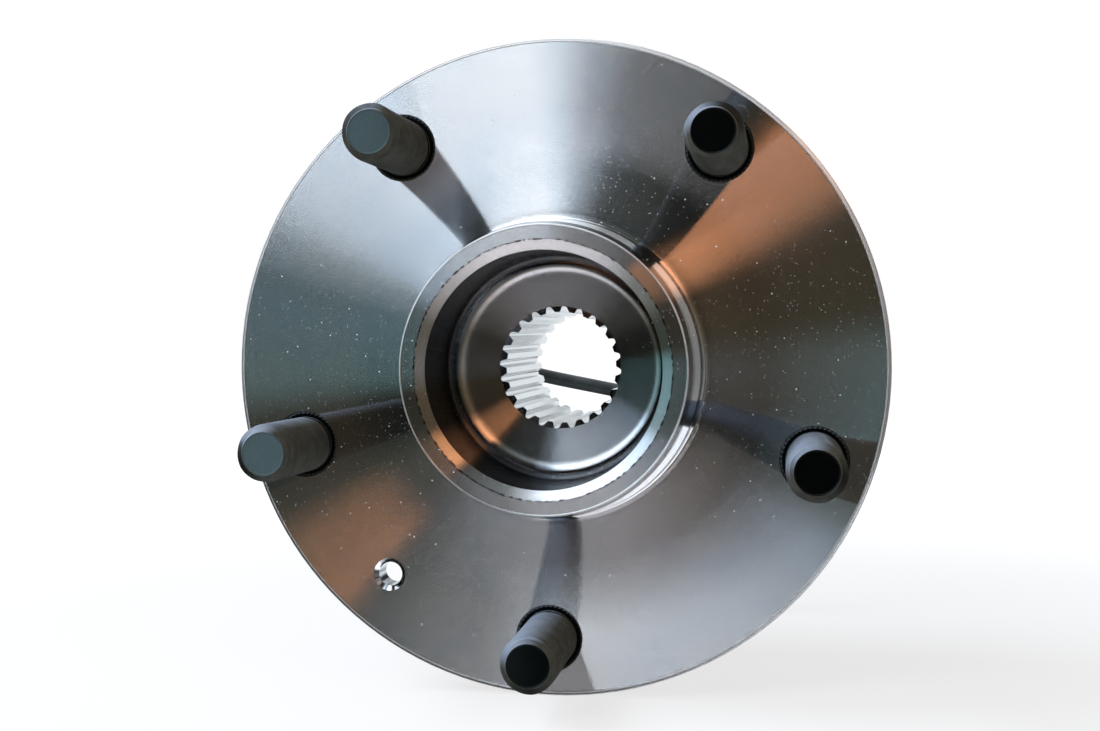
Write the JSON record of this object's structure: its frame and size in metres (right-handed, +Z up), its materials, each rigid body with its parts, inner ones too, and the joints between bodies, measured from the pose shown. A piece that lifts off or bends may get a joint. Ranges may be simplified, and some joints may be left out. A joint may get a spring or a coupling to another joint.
{
  "type": "wheel hub bearing",
  "caption": "Driven wheel hub unit: flanged hub with press-in studs and splined bore turning on two rows of balls in a flanged outer ring, with a wheel speed sensor and its lead",
  "frame": {"origin": "centre of the wheel mounting face, on the axle line", "axes": "Y is the axle line, -Y towards the wheel and +Y towards the knuckle; +Z is up"},
  "size_m": [0.1388, 0.136, 0.1388],
  "materials": {
    "turned_steel": "fine turned, oiled",
    "black_stud": "black oxide",
    "bearing_steel": "ground",
    "forged_ring": "turned",
    "ball_steel": "polished",
    "cage_nylon": "moulded",
    "pressed_steel": "pressed",
    "seal_rubber": "matte",
    "magnet_rubber": "matte",
    "cover_steel": "zinc plated",
    "sensor_plastic": "moulded",
    "boot_rubber": "matte",
    "cable_jacket": "satin",
    "tie_nylon": "moulded",
    "connector_plastic": "moulded",
    "lock_plastic": "moulded",
    "plug_seal": "matte",
    "terminal_brass": "tin flashed"
  },
  "bodies": {
    "outer_body": {"outer_ring": "forged_ring", "outboard_seal_case": "pressed_steel", "outboard_seal_lip": "seal_rubber", "inboard_seal_case": "pressed_steel", "inboard_seal_lip": "seal_rubber", "sensor_ring": "cover_steel", "sensor_body": "sensor_plastic", "cable_boot": "boot_rubber", "sensor_cable": "cable_jacket", "cable_coil": "cable_jacket", "cable_tail": "cable_jacket", "cable_tie": "tie_nylon", "connector_body": "connector_plastic", "connector_boot": "boot_rubber", "connector_lock": "lock_plastic", "connector_seal": "plug_seal", "connector_terminals": "terminal_brass"},
    "hub_body": {"hub_flange": "turned_steel", "wheel_studs": "black_stud", "inner_ring": "bearing_steel", "encoder_slinger": "pressed_steel", "encoder_magnet": "magnet_rubber"},
    "outboard_row": {"outboard_cage": "cage_nylon", "outboard_balls": "ball_steel"},
    "inboard_row": {"inboard_cage": "cage_nylon", "inboard_balls": "ball_steel"}
  },
  "joints": [
    {"name": "hub_spin", "type": "hinge", "parent": "outer_body", "child": "hub_body", "pos_m": [0, 0, 0], "axis": [0, 1, 0], "continuous": true},
    {"name": "outboard_row_spin", "type": "hinge", "parent": "outer_body", "child": "outboard_row", "pos_m": [0, 0, 0], "axis": [0, 1, 0], "continuous": true},
    {"name": "inboard_row_spin", "type": "hinge", "parent": "outer_body", "child": "inboard_row", "pos_m": [0, 0, 0], "axis": [0, 1, 0], "continuous": true}
  ],
  "couplings": [
    {"joint": "outboard_row_spin", "follows": "hub_spin", "ratio": 0.4129},
    {"joint": "inboard_row_spin", "follows": "hub_spin", "ratio": 0.4129}
  ]
}
